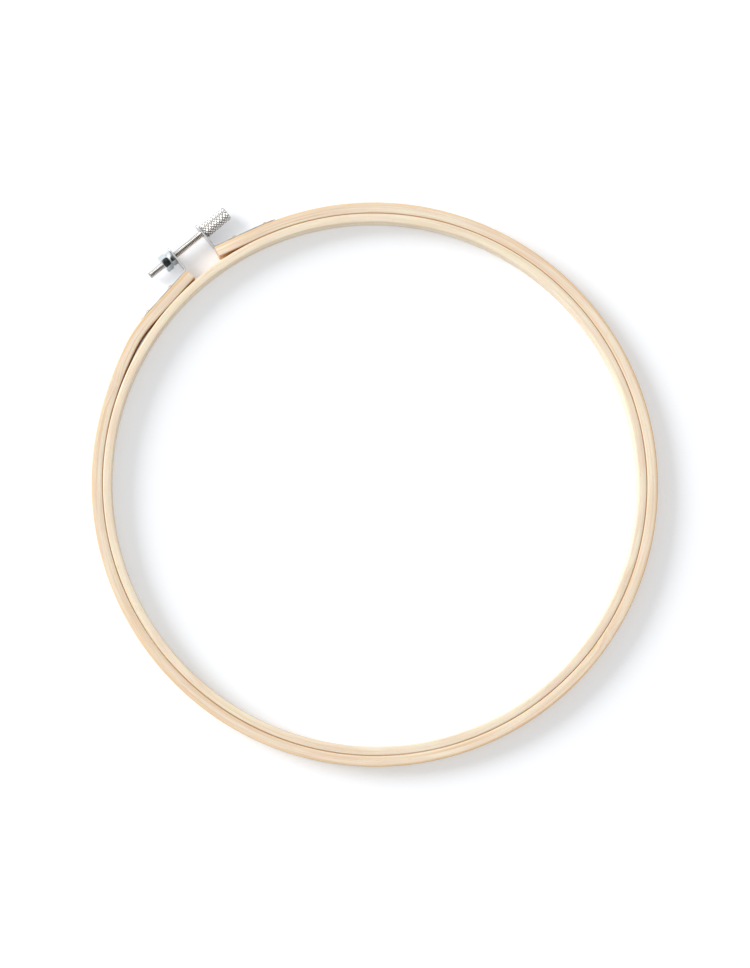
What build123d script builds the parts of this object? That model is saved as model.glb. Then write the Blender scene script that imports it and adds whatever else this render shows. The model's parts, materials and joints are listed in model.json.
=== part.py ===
from build123d import *
from math import cos, degrees, radians, sin, tan
import os

# An embroidery hoop: a closed inner ring, a split outer ring with a steel bracket nailed
# to each of its ends, and a clamp screw with two nuts that draws the brackets together.
# Millimetres. The origin is the centre of both rings on the plane they lie on, +Z is up,
# +X runs along the clamp screw towards its knurled head and +Y points out to the screw.
# Angles are degrees round the ring from +X towards +Y.

# Rings
inner_ring_diameter = 203.2
inner_ring_thickness = 3.3
outer_ring_thickness = 3.9
ring_height = 8.0
ring_edge_chamfer = 0.5
ring_clearance = 0.25

# Opening of the outer ring, between the inside faces of the two bracket ears
nut_ear_x = -2.8
head_ear_x = 10.4
end_setback = 0.3

# The outer ring's two ends are straight, and square to these angles
nut_flat_angle = 98.5
head_flat_angle = 75.1

# Next to the nut bracket the outer ring bows away from the inner one
bow_start_angle = 128.0
bow_turn_angle = 114.0
bow_radius_gain = 24.0

# Brackets, bent from steel strip
strip_width = 7.0
strip_thickness = 0.5
strip_corner_radius = 1.6
bend_inside_radius = 0.9
flange_length = 25.4
ear_beyond_screw = 3.5
screw_hole_clearance = 0.2

# Nails, the near one placed from the ear and the far one from the flange's tip
near_nail_from_ear = 9.0
far_nail_from_tip = 4.0
nail_diameter = 1.2
nail_head_diameter = 2.1
nail_head_height = 0.85
nail_head_rim = 0.15
nail_clearance = 0.02
clench_length = 2.4
clench_tip_width = 0.4
clench_depth = 0.35

# Clamp screw
screw_stand_off = 8.3
shank_diameter = 2.84
shank_beyond_ear = 11.45
tip_chamfer = 0.4
head_diameter = 5.7
head_length = 11.8
head_chamfer = 0.45
head_gap = 0.05
knurl_starts = 12
knurl_pitch = 1.4
knurl_depth = 0.42

# Nuts, from the ear outwards, each turned this many degrees from a level top flat
nut_gap = 0.05
thread_clearance = 0.03
clamp_nut_flats = 5.3
clamp_nut_thickness = 2.1
clamp_nut_turn = 2.0
lock_nut_flats = 6.1
lock_nut_thickness = 3.0
lock_nut_turn = 5.0
nut_chamfer_angle = 30.0
nut_face_share = 0.95

# Every cut runs this far past the surface it opens
overrun = 0.3
# Lengths closer together than this are the same
same_length = 0.001

full_turn = 360
quarter_turn = 90
hexagon_sides = 6
inner_ring_radius = inner_ring_diameter / 2
clear_radius = inner_ring_radius - inner_ring_thickness
band_inside_radius = inner_ring_radius + ring_clearance
band_outside_radius = band_inside_radius + outer_ring_thickness
mid_height = ring_height / 2
screw_y = band_outside_radius + screw_stand_off
screw_centre = Vector(0, screw_y, mid_height)
shank_radius = shank_diameter / 2
nail_places = {"near": near_nail_from_ear, "far": flange_length - far_nail_from_tip}
head_start_x = head_ear_x + strip_thickness + head_gap
tip_x = nut_ear_x - strip_thickness - shank_beyond_ear

# The two ends of the outer ring: 1 is the screw head's side and -1 the nuts' side
sides = {"head": 1, "nut": -1}
ear_places = {1: head_ear_x, -1: nut_ear_x}
flat_angles = {1: head_flat_angle, -1: nut_flat_angle}


def around(radius, angle):
    """The point at a radius and an angle round the ring, seen from above."""
    return Vector(radius * cos(radians(angle)), radius * sin(radians(angle)))


def turn_radius():
    """Inside radius of the tighter stretch that brings the bow back to the nut-side flat."""
    bow_share = cos(radians(bow_start_angle - nut_flat_angle))
    turn_share = cos(radians(bow_turn_angle - nut_flat_angle))
    return band_inside_radius - bow_radius_gain * (turn_share - bow_share) / (1 - turn_share)


def flat_start(side, offset):
    """Where a straight end leaves the round, at an offset out from the inside face."""
    if side == sides["head"]:
        return around(band_inside_radius + offset, head_flat_angle)
    bow_centre = around(-bow_radius_gain, bow_start_angle)
    bow_radius = band_inside_radius + bow_radius_gain
    turn_centre = bow_centre + around(bow_radius - turn_radius(), bow_turn_angle)
    return turn_centre + around(turn_radius() + offset, nut_flat_angle)


def flat_length(side, setback):
    """Length of a straight end along the outside face, up to a setback from its ear."""
    start_x = flat_start(side, outer_ring_thickness).X
    end_x = ear_places[side] + side * setback
    return abs(end_x - start_x) / sin(radians(flat_angles[side]))


def band_inside_line():
    """The outer ring's inside face from its nut end round to its head end, from above."""
    foot = flat_start(sides["nut"], 0)
    heading = around(1, nut_flat_angle + quarter_turn)
    nut_end = Line(foot - heading * flat_length(sides["nut"], end_setback), foot)
    turn = JernArc(foot, heading, turn_radius(), bow_turn_angle - nut_flat_angle)
    bow_radius = band_inside_radius + bow_radius_gain
    bow = JernArc(turn @ 1, turn % 1, bow_radius, bow_start_angle - bow_turn_angle)
    round_angle = full_turn + head_flat_angle - bow_start_angle
    main = JernArc(bow @ 1, bow % 1, band_inside_radius, round_angle)
    last = main % 1 * flat_length(sides["head"], end_setback)
    head_end = Line(main @ 1, main @ 1 + last)
    return Wire([nut_end, turn, bow, main, head_end])


def strip_face(line, thickness, offset_side):
    """The area between a line and its offset, closed square at both ends."""
    return make_face(line.offset_2d(thickness, kind=Kind.TANGENT, side=offset_side).edges())


def flange_line(side):
    """The wood's outside face under a flange, from the ear outwards, seen from above."""
    start = flat_start(side, outer_ring_thickness)
    heading = around(1, flat_angles[side] - side * quarter_turn)
    straight = flat_length(side, 0)
    inside_radius = band_inside_radius if side == sides["head"] else turn_radius()
    wrap_radius = inside_radius + outer_ring_thickness
    wrap_angle = degrees((flange_length - straight) / wrap_radius)
    flat = Line(start - heading * straight, start)
    return Wire([flat, JernArc(start, heading, wrap_radius, -side * wrap_angle)])


def nail_planes(side):
    """A plane on the wood under each nail of a flange: x along it and z outwards."""
    line = flange_line(side)
    planes = {}
    for name, place in nail_places.items():
        point = line.position_at(place, PositionMode.LENGTH) + Vector(0, 0, mid_height)
        along = line.tangent_at(place, PositionMode.LENGTH)
        outwards = along.rotate(Axis.Z, side * quarter_turn)
        planes[name] = Plane(point, x_dir=along, z_dir=outwards)
    return planes


def clench_outline(clearance):
    """The bent-over nail point, which lies along the grain and tapers, seen square on."""
    root_half = nail_diameter / 2 + clearance
    tip_half = clench_tip_width / 2 + clearance
    end = clench_length + clearance
    return Polygon((0, -root_half), (end, -tip_half), (end, tip_half), (0, root_half), align=None)


def inner_ring():
    """One closed wooden band with eased edges."""
    section = Rectangle(inner_ring_thickness, ring_height)
    section = chamfer(section.vertices(), ring_edge_chamfer)
    middle = inner_ring_radius - inner_ring_thickness / 2
    return revolve(Plane.XZ * Pos(middle, mid_height) * section, Axis.Z)


def outer_ring():
    """One split wooden band with eased edges, sawn ends and its nail holes."""
    outline = strip_face(band_inside_line(), outer_ring_thickness, Side.RIGHT)
    band = extrude(outline, ring_height)
    rims = band.faces().filter_by(Axis.Z).edges()
    long_edges = rims.filter_by(lambda edge: edge.length > outer_ring_thickness + same_length)
    band = chamfer(long_edges, ring_edge_chamfer)
    hole_depth = outer_ring_thickness + 2 * overrun
    recess_depth = clench_depth + nail_clearance
    for side in sides.values():
        for plane in nail_planes(side).values():
            hole = Cylinder(nail_diameter / 2 + nail_clearance, hole_depth)
            band -= plane * Pos(0, 0, -outer_ring_thickness / 2) * hole
            recess = extrude(clench_outline(nail_clearance), recess_depth + overrun)
            band -= plane * Pos(0, 0, -outer_ring_thickness - overrun) * recess
    return band


def bracket(side):
    """A strip bent into an ear for the screw and a flange that follows the wood."""
    ear_top = Vector(ear_places[side], screw_y + ear_beyond_screw)
    flat, wrap = flange_line(side).edges()
    bend_radius = bend_inside_radius + strip_thickness
    bent = FilletPolyline(ear_top, flat @ 0, flat @ 1, radius=bend_radius)
    path = Wire(bent.edges() + [wrap])
    outline = strip_face(path, strip_thickness, Side.LEFT if side > 0 else Side.RIGHT)
    strip = Pos(0, 0, mid_height - strip_width / 2) * extrude(outline, strip_width)
    corners = strip.edges().filter_by(GeomType.LINE)
    corners = corners.filter_by(lambda edge: abs(edge.length - strip_thickness) < same_length)
    strip = fillet(corners, strip_corner_radius)
    hole_length = strip_thickness + 2 * overrun
    screw_hole = Cylinder(shank_radius + screw_hole_clearance, hole_length)
    ear_middle = Vector(ear_places[side] + side * strip_thickness / 2, 0, 0)
    strip -= Pos(ear_middle + screw_centre) * Rot(0, quarter_turn, 0) * screw_hole
    for plane in nail_planes(side).values():
        hole = Cylinder(nail_diameter / 2 + nail_clearance, hole_length)
        strip -= plane * Pos(0, 0, strip_thickness / 2) * hole
    return strip


def nail():
    """A nail on its plane: domed head on the flange, shank, and point bent over inside."""
    head_radius = nail_head_diameter / 2
    rim_top = strip_thickness + nail_head_rim
    crown_top = strip_thickness + nail_head_height
    crown = TangentArc((0, crown_top), (head_radius, rim_top), tangent=(1, 0))
    rest = Polyline(
        (head_radius, rim_top),
        (head_radius, strip_thickness),
        (nail_diameter / 2, strip_thickness),
        (nail_diameter / 2, -outer_ring_thickness),
        (0, -outer_ring_thickness),
        (0, crown_top),
    )
    shank = revolve(Plane.XZ * make_face(crown.edges() + rest.edges()), Axis.Z)
    point = extrude(clench_outline(0), clench_depth)
    return shank + Pos(0, 0, -outer_ring_thickness) * point


def polygon(*points):
    """A flat face through some points."""
    return Face(Wire.make_polygon(points))


def knurled_head():
    """The screw's head: a lattice of pyramids between two chamfered ends.

    Grooves cross at every second point of the lattice, and a pyramid stands on each
    point between them, with its four sides running down to the crossings beside it."""
    columns = 2 * knurl_starts
    knurl_length = head_length - 2 * head_chamfer
    rows = round(2 * knurl_length / knurl_pitch)
    spacing = knurl_length / rows
    crest_radius = head_diameter / 2
    ends = {0: head_start_x, rows: head_start_x + head_length}

    def on_circle(x, radius, column):
        turned = radians(full_turn * column / columns)
        return Vector(x, screw_y + radius * cos(turned), mid_height + radius * sin(turned))

    def on_knurl(row, column):
        raised = (row + column) % 2
        radius = crest_radius if raised else crest_radius - knurl_depth
        return on_circle(head_start_x + head_chamfer + row * spacing, radius, column)

    def on_rim(row, column):
        return on_circle(ends[row], crest_radius - head_chamfer, column)

    faces = []
    for row in range(rows + 1):
        for column in range(row % 2 + 1, columns + 1, 2):
            crest = on_knurl(row, column)
            for next_row in (row - 1, row + 1):
                for next_column in (column - 1, column + 1):
                    if 0 <= next_row <= rows:
                        beside = on_knurl(row, next_column)
                        faces.append(polygon(crest, beside, on_knurl(next_row, column)))
    for row in ends:
        for column in range(columns):
            near = (on_knurl(row, column), on_knurl(row, column + 1))
            rim = (on_rim(row, column), on_rim(row, column + 1))
            faces.append(polygon(near[0], near[1], rim[0]))
            faces.append(polygon(near[1], rim[1], rim[0]))
        faces.append(polygon(*[on_rim(row, column) for column in range(columns)]))
    return Solid(Shell(faces))


def clamp_screw():
    """The knurled head with its plain-drawn shank and chamfered tip."""
    length = head_start_x + head_chamfer - tip_x
    shank = Cylinder(shank_radius, length, align=(Align.CENTER, Align.CENTER, Align.MIN))
    tip_edge = shank.edges().filter_by(GeomType.CIRCLE).sort_by(Axis.Z)[0]
    shank = chamfer(tip_edge, tip_chamfer)
    return knurled_head() + Pos(screw_centre + Vector(tip_x)) * Rot(0, quarter_turn, 0) * shank


def nut(flats, thickness, turn, near_x):
    """A hexagon nut with both faces chamfered, from near_x towards the screw's tip."""
    flat_radius = flats / 2
    hexagon = RegularPolygon(flat_radius, hexagon_sides, major_radius=False, rotation=turn)
    prism = extrude(Plane.YZ * hexagon, -thickness)
    outside = flat_radius / cos(radians(full_turn / hexagon_sides / 2)) + overrun
    face_radius = flat_radius * nut_face_share
    rise = (outside - face_radius) * tan(radians(nut_chamfer_angle))
    profile = Polyline(
        (0, 0),
        (0, face_radius),
        (-rise, outside),
        (rise - thickness, outside),
        (-thickness, face_radius),
        (-thickness, 0),
        close=True,
    )
    turned = revolve(make_face(profile), Axis.X)
    bore = Cylinder(shank_radius + thread_clearance, thickness + 2 * overrun)
    bore = Pos(-thickness / 2) * Rot(0, quarter_turn, 0) * bore
    return Pos(screw_centre + Vector(near_x)) * (prism & turned - bore)


clamp_nut_x = nut_ear_x - strip_thickness - nut_gap
lock_nut_x = clamp_nut_x - clamp_nut_thickness - nut_gap
nodes = {
    "inner_ring": inner_ring(),
    "outer_ring": outer_ring(),
    "clamp_screw": clamp_screw(),
    "clamp_nut": nut(clamp_nut_flats, clamp_nut_thickness, clamp_nut_turn, clamp_nut_x),
    "lock_nut": nut(lock_nut_flats, lock_nut_thickness, lock_nut_turn, lock_nut_x),
}
for side_name, side in sides.items():
    nodes[side_name + "_bracket"] = bracket(side)
    for nail_name, plane in nail_planes(side).items():
        nodes[f"{side_name}_{nail_name}_nail"] = plane * nail()

os.makedirs("parts", exist_ok=True)
for name, shape in nodes.items():
    export_step(shape, f"parts/{name}.step")
print(f"clear opening radius {clear_radius:.3f}, screw at y {screw_y:.3f}")
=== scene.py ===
import json
from math import ceil, cos, pi, radians, sin, sqrt, tan

import bmesh
import bpy
from bpy.props import FloatProperty, FloatVectorProperty, IntProperty, PointerProperty
from mathutils import Matrix, Vector


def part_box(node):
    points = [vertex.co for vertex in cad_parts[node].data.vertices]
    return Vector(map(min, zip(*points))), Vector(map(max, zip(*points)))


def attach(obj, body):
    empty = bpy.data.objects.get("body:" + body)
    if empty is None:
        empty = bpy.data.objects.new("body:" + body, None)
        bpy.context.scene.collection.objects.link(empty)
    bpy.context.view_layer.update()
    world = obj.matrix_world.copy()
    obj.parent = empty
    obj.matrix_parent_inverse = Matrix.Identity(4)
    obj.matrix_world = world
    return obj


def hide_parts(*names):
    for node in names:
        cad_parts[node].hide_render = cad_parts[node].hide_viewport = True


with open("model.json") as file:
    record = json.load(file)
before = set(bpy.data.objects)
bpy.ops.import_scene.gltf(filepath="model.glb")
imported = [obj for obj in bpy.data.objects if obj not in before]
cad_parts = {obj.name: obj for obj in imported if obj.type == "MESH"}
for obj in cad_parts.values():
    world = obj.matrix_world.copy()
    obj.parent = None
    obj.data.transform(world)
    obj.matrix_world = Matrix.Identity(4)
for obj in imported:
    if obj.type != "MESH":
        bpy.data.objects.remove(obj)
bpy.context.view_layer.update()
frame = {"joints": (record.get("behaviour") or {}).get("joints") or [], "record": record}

bl_info = {
    "name": "Embroidery Hoop",
    "version": (1, 0, 0),
    "blender": (4, 5, 0),
    "location": "View3D > Sidebar > Hoop",
    "description": "Dresses a wooden embroidery hoop with a knurled clamp screw, and lights it",
    "category": "Add Mesh",
}

FULL_TURN = 2 * pi
QUARTER_TURN = pi / 2
UP = 1
DOWN = -1
LEFT = 1
RIGHT = -1
SIDES = {"head": RIGHT, "nut": LEFT}
HEXAGON_SIDES = 6
# A face of a ring with more corners than this is a sawn end
MOST_WALL_CORNERS = 6
# Points closer together than this are one point, and places are compared to so many digits
SAME_PLACE = 1e-7
PLACE_DIGITS = 7
# A face looks squarely along a direction where its normal agrees with it by more than this
SQUARELY = 0.999

# How finely shapes are cut: flat sides round a circle, steps over an edge or bend, cuts over a crown
HOLE_SIDES = 48
NAIL_SIDES = 24
NAIL_POINT_SIDES = 16
SHANK_SIDES = 64
NUT_SIDES = 96
THREAD_STEPS = 36
EDGE_STEPS = 2
ROUNDING_STEPS = 4
CORNER_STEPS = 8
CROWN_CUTS = 5
BRACKET_STEP = radians(4)

# Edges that turn by more degrees than these are shaded as edges, or are filed
SHARP = 32
SHARP_DIAMOND = 20
SHARP_THREAD = 40
FILED = 25
FILED_NAIL = 40
FILED_DIAMOND = 50

# Radii at which the dome of a nail's head is cut, as shares of the head's
NAIL_DOME_SHARES = (0.97, 0.88, 0.74, 0.55, 0.33, 0.12)
# The thread's profile along its pitch, and the turns made past each end and cut off
THREAD_ROOT_SHARE = 0.2
THREAD_FLANK_SHARE = 0.34
THREAD_CREST_SHARE = 0.12
SPARE_TURNS = 2
# Beyond these shares of its radius, points of the head lie on the lattice, and on its crests
ON_LATTICE_SHARE = 0.99
ON_CREST_SHARE = 0.999
# A nut's flat face, as a share of its flats, and its round blank, as a share of its corners
NUT_FACE_SHARE = 0.95
NUT_BLANK_SHARE = 1.1

# What the frame says: the screw's axis, its thread's pitch and the ring's height
JOINTS = {joint["name"]: joint for joint in frame["joints"]}
SCREW_AXIS = Vector(JOINTS["screw_turn"]["pos_m"])
TURN_PER_METRE = frame["record"]["behaviour"]["couplings"][0]["ratio"]
THREAD_PITCH = FULL_TURN / TURN_PER_METRE
RING_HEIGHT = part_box("inner_ring")[1].z
MID_HEIGHT = RING_HEIGHT / 2
SCREW_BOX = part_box("clamp_screw")


def from_screen(red, green, blue):
    """A colour as the shaders want it, from the three numbers, 0 to 255, that a screen shows."""
    shares = (red / 255, green / 255, blue / 255)
    linear = (s / 12.92 if s <= 0.04045 else ((s + 0.055) / 1.055) ** 2.4 for s in shares)
    return tuple(linear)


def with_alpha(colour):
    """A colour with the alpha that colour sockets expect."""
    return (*colour[:3], 1.0)


def metres(name, description, default):
    """A length or a place, in metres."""
    return FloatProperty(name=name, description=description, default=default, unit="LENGTH", precision=5)


def angle_property(name, description, degrees):
    """An angle, kept in radians."""
    return FloatProperty(name=name, description=description, default=radians(degrees), subtype="ANGLE")


def tint(name, description, *screen):
    """A colour, given as a screen shows it."""
    return FloatVectorProperty(
        name=name,
        description=description,
        default=from_screen(*screen),
        min=0.0,
        max=1.0,
        size=3,
        subtype="COLOR",
    )


class HoopWood(bpy.types.PropertyGroup):
    """Sizes of the two wooden rings."""

    inner_radius: metres("Inner ring", "Outside radius of the inner ring", 0.1016)
    inner_thickness: metres("Inner thickness", "Radial thickness of the inner ring", 0.0033)
    outer_thickness: metres("Outer thickness", "Radial thickness of the outer ring", 0.00405)
    clearance: metres("Clearance", "Gap between the two rings", 0.0001)
    rounding: metres("Rounding", "Radius of the sanded long edges", 0.0004)
    crown: metres("Crown", "How far sanding has lowered the faces towards their edges", 0.00012)
    sawn_edge: metres("Sawn edge", "Broken edge round the two sawn ends", 0.00012)
    nut_end: metres("Nut end", "Where the outer ring ends on the nuts' side", -0.0031)
    head_end: metres("Head end", "Where the outer ring ends on the head's side", 0.0107)
    nut_flat: angle_property("Nut-side flat", "Angle that the nut-side straight is square to", 98.5)
    head_flat: angle_property("Head-side flat", "Angle that the head-side straight is square to", 75.1)
    bow_start: angle_property("Bow start", "Angle at which the bow meets the true round", 128)
    bow_turn: angle_property("Bow turn", "Angle at which the bow turns back to the straight", 114)
    bow_gain: metres("Bow gain", "How much the bow's radius is over the ring's", 0.024)
    step: angle_property("Step", "Largest angle between two sections of a ring", 1.5)


class HoopBrackets(bpy.types.PropertyGroup):
    """Sizes of the bent steel strips and their nails."""

    width: metres("Width", "Width of the strip", 0.007)
    thickness: metres("Thickness", "Thickness of the strip", 0.0005)
    corner: metres("Corner", "Radius of the strip's corners", 0.0016)
    bend: metres("Bend", "Inside radius of the bend", 0.0009)
    edge: metres("Edge", "Rounding of the strip's sheared edges", 0.00007)
    flange: metres("Flange", "Length of the flange along the wood", 0.0254)
    nut_ear: metres("Nut-side ear", "Inside face of the nut-side ear", -0.0028)
    head_ear: metres("Head-side ear", "Inside face of the head-side ear", 0.0104)
    ear_beyond_screw: metres("Ear top", "How far the ears pass the screw's axis", 0.0035)
    screw_hole: metres("Screw hole", "Radius of the hole for the screw", 0.00162)
    near_nail: metres("Near nail", "From the ear to the near nail", 0.009)
    far_nail: metres("Far nail", "From the far nail to the flange's tip", 0.004)
    nail_radius: metres("Nail radius", "Radius of a nail's shank", 0.0006)
    nail_head: metres("Nail head", "Radius of a nail's head", 0.00105)
    nail_dome: metres("Nail dome", "Height of a nail's head", 0.00085)
    nail_rim: metres("Nail rim", "Height of a nail head's rim", 0.00015)
    clench_length: metres("Clench", "Length of a nail's bent-over point", 0.0024)
    clench_tip: metres("Clench tip", "Half width of a nail's point at its tip", 0.0002)
    clench_depth: metres("Clench depth", "How deep the point is pressed in", 0.00035)
    clench_proud: metres("Clench proud", "How far the point stands out of the wood", 0.00005)


class HoopScrew(bpy.types.PropertyGroup):
    """Sizes of the clamp screw and its nuts."""

    shank_radius: metres("Shank", "Radius over the thread", 0.00142)
    thread_depth: metres("Thread depth", "Depth of the thread", 0.00028)
    tip_chamfer: metres("Tip chamfer", "Chamfer at the screw's tip", 0.0004)
    head_start: metres("Head start", "Where the knurled head begins", 0.01095)
    head_radius: metres("Head", "Radius over the knurl", 0.00285)
    head_length: metres("Head length", "Length of the knurled head", 0.0118)
    head_chamfer: metres("Head chamfer", "Chamfer at both ends of the head", 0.00045)
    knurl_depth: metres("Knurl depth", "Depth of the knurl's grooves", 0.00042)
    knurl_pitch: metres("Knurl pitch", "Spacing of the diamonds along the head", 0.0014)
    knurl_crest: metres("Knurl crest", "How far the diamonds' points are worn", 0.0001)
    clamp_flats: metres("Clamp nut", "Clamp nut across its flats", 0.0053)
    lock_flats: metres("Lock nut", "Lock nut across its flats", 0.0061)
    clamp_turn: angle_property("Clamp nut turn", "Turn of the clamp nut from a level flat", 2)
    lock_turn: angle_property("Lock nut turn", "Turn of the lock nut from a level flat", 5)
    nut_bore: metres("Nut bore", "Radius of the nuts' bores", 0.00145)
    nut_countersink: metres("Nut countersink", "Countersink at both ends of the bores", 0.00025)
    nut_chamfer: angle_property("Nut chamfer", "Angle of the nuts' corner chamfers", 30)
    nut_edge: metres("Nut edge", "Rounding of the nuts' edges", 0.00006)
    knurl_starts: IntProperty(
        name="Knurl starts",
        description="Diamonds round the head",
        default=12,
        min=6,
    )


class HoopColours(bpy.types.PropertyGroup):
    """Colours of the wood and the metals."""

    inner_pale: tint("Inner ring", "Pale wood of the inner ring", 247, 234, 211)
    inner_streak: tint("Inner streaks", "Streaks in the inner ring", 236, 217, 184)
    outer_pale: tint("Outer ring", "Pale wood of the outer ring", 246, 231, 209)
    outer_streak: tint("Outer streaks", "Streaks in the outer ring", 229, 199, 160)
    blush: tint("Blush", "Pinkish patches in the wood", 234, 208, 184)
    skin: tint("Skin", "Yellow-brown wood next to the cane's skin", 228, 190, 136)
    # Darker wood beside the seam, partly stained wood and partly painted shade between the rings; it also
    # darkens the vessel ends of the sawn wood
    stain_and_seam_shade: tint("Stain", "Darkened wood beside the seam", 224, 172, 113)
    pore: tint("Pore", "Open pores along the fibres", 206, 170, 128)
    sawn: tint("Sawn end", "End grain of the sawn ends", 222, 192, 152)
    steel: tint("Steel", "Plated strip of the brackets", 206, 204, 204)
    nickel: tint("Nickel", "Plating of the screw", 240, 238, 236)
    zinc: tint("Zinc", "Plating of the nuts", 223, 229, 231)
    brass: tint("Brass", "Wash on the nails", 204, 168, 116)
    # Dull film on the metals, and also the colour of the grime and painted shade in the screw's grooves
    tarnish_and_shade: tint("Tarnish", "Dull film on the metals", 88, 80, 70)


def object_mode():
    """Goes to object mode with nothing selected."""
    if bpy.context.object and bpy.context.object.mode != "OBJECT":
        bpy.ops.object.mode_set(mode="OBJECT")
    bpy.ops.object.select_all(action="DESELECT")


def pick(piece):
    """Selects one piece alone and makes it active."""
    object_mode()
    piece.select_set(True)
    bpy.context.view_layer.objects.active = piece


def edit(piece, everything=False):
    """Opens a piece for editing with nothing, or everything, selected."""
    pick(piece)
    bpy.ops.object.mode_set(mode="EDIT")
    bpy.ops.mesh.select_mode(type="VERT")
    bpy.ops.mesh.select_all(action="SELECT" if everything else "DESELECT")


def select(piece, kind, test):
    """In edit mode, selects only the vertices, edges or faces that pass a test."""
    bpy.ops.mesh.select_all(action="DESELECT")
    bpy.ops.mesh.select_mode(type={"verts": "VERT", "edges": "EDGE", "faces": "FACE"}[kind])
    mesh = bmesh.from_edit_mesh(piece.data)
    for element in getattr(mesh, kind):
        if test(element):
            element.select_set(True)
    mesh.select_flush_mode()
    bmesh.update_edit_mesh(piece.data)


def settle(piece):
    """Puts a piece's place, turn and scale into its mesh."""
    pick(piece)
    bpy.ops.object.transform_apply(location=True, rotation=True, scale=True)


def face_outwards(piece):
    """Merges doubled points and turns every face outwards."""
    edit(piece, everything=True)
    bpy.ops.mesh.remove_doubles(threshold=SAME_PLACE)
    bpy.ops.mesh.normals_make_consistent(inside=False)
    object_mode()


def apply_modifier(piece, kind, **settings):
    """Adds a modifier with its settings and applies it."""
    pick(piece)
    modifier = piece.modifiers.new(kind.lower(), kind)
    for name, value in settings.items():
        setattr(modifier, name, value)
    bpy.ops.object.modifier_apply(modifier=modifier.name)


def cut(piece, tool, operation="DIFFERENCE"):
    """Cuts a piece with a closed tool, or crosses or joins the two, and removes the tool."""
    apply_modifier(piece, "BOOLEAN", operation=operation, object=tool, solver="EXACT")
    bpy.data.objects.remove(tool)


def smooth(piece, degrees=SHARP):
    """Shades a piece smooth except at its sharp edges."""
    pick(piece)
    bpy.ops.object.shade_smooth_by_angle(angle=radians(degrees))
    object_mode()


def break_edges(piece, width, degrees=FILED):
    """Rounds every sharp edge of a piece a little, as filing or plating does."""
    apply_modifier(
        piece,
        "BEVEL",
        width=width,
        segments=EDGE_STEPS,
        limit_method="ANGLE",
        angle_limit=radians(degrees),
        use_clamp_overlap=True,
    )


def hand_over(piece, name, body, slot, materials, *nodes):
    """Names a finished piece, gives it its materials and says what it rides on and stands for."""
    piece.name = name
    piece.data.name = name
    for material in materials:
        piece.data.materials.append(material)
    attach(piece, body)
    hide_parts(*nodes)


def around(radius, angle, height=0.0):
    """The point at a radius and an angle round the ring."""
    return Vector((radius * cos(angle), radius * sin(angle), height))


class Straight:
    """A straight stretch of a strip's route."""

    def __init__(self, length):
        self.length = length

    def follow(self, point, heading, step):
        """Extrudes the selected section along the stretch, and returns where it ends."""
        move = around(self.length, heading)
        bpy.ops.mesh.extrude_edges_move(TRANSFORM_OT_translate={"value": move})
        return point + move, heading


class Bend:
    """A round stretch of a strip's route, to the left where its turn is positive."""

    def __init__(self, radius, turn):
        self.radius = radius
        self.turn = turn

    def follow(self, point, heading, step):
        """Spins the selected section round the stretch, and returns where it ends."""
        side = LEFT if self.turn > 0 else RIGHT
        centre = point + around(self.radius, heading + side * QUARTER_TURN)
        steps = ceil(abs(self.turn) / step)
        bpy.ops.mesh.spin(steps=steps, angle=-self.turn, center=centre, axis=(0, 0, 1))
        end = heading + self.turn
        return centre - around(self.radius, end + side * QUARTER_TURN), end


def crown_section(piece, thickness, width, crown):
    """Lowers both narrow sides of a section, which lies flat, towards its corners."""
    select(piece, "edges", lambda edge: all(abs(abs(v.co.y) - width / 2) < SAME_PLACE for v in edge.verts))
    bpy.ops.mesh.subdivide(number_cuts=CROWN_CUTS)
    distances = {round(abs(vertex.co.x), PLACE_DIGITS) for vertex in bmesh.from_edit_mesh(piece.data).verts}
    for distance in distances:
        select(piece, "verts", lambda vertex: abs(abs(vertex.co.x) - distance) < SAME_PLACE)
        share = 1 - crown * (2 * distance / thickness) ** 2 / (width / 2)
        bpy.ops.transform.resize(value=(1, share, 1), center_override=(0, 0, 0))


def sweep_strip(start, heading, side, stretches, thickness, width, step, rounding=0.0, crown=0.0):
    """A strip, standing on edge, that follows a route along one of its faces, open at its ends.

    The strip lies to one side of the route. Its float attribute "across" says how far each
    point lies from the face that follows the route."""
    object_mode()
    bpy.ops.mesh.primitive_plane_add(size=1)
    piece = bpy.context.object
    edit(piece, everything=True)
    bpy.ops.transform.resize(value=(thickness, width, 1))
    if rounding:
        bpy.ops.mesh.bevel(offset=rounding, segments=ROUNDING_STEPS, affect="VERTICES")
    bpy.ops.mesh.select_all(action="SELECT")
    bpy.ops.mesh.delete(type="ONLY_FACE")
    if crown:
        crown_section(piece, thickness, width, crown)
    object_mode()
    across = piece.data.attributes.new("across", "FLOAT", "POINT")
    for vertex in piece.data.vertices:
        across.data[vertex.index].value = vertex.co.x + thickness / 2
    outwards = heading + side * QUARTER_TURN
    piece.rotation_euler = (QUARTER_TURN, 0, outwards)
    piece.location = start + around(thickness / 2, outwards, MID_HEIGHT)
    settle(piece)
    edit(piece, everything=True)
    point = Vector(start)
    for stretch in stretches:
        point, heading = stretch.follow(point, heading, step)
    object_mode()
    return piece


def close_ends(piece):
    """Fills the two open ends of a strip."""
    edit(piece, everything=True)
    bpy.ops.mesh.fill_holes(sides=0)
    face_outwards(piece)


def bow_radii(wood):
    """Radii of the outer ring's inside face: its round, its bow, and the turn back from the bow."""
    main = wood.inner_radius + wood.clearance
    bow_share = cos(wood.bow_start - wood.nut_flat)
    turn_share = cos(wood.bow_turn - wood.nut_flat)
    turn = main - wood.bow_gain * (turn_share - bow_share) / (1 - turn_share)
    return main, main + wood.bow_gain, turn


def straight_foot(wood, side, offset):
    """Where a straight end of the outer ring leaves the round, at an offset from its inside face."""
    main, bow, turn = bow_radii(wood)
    if side == RIGHT:
        return around(main + offset, wood.head_flat)
    bow_centre = around(-wood.bow_gain, wood.bow_start)
    turn_centre = bow_centre + around(bow - turn, wood.bow_turn)
    return turn_centre + around(turn + offset, wood.nut_flat)


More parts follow.
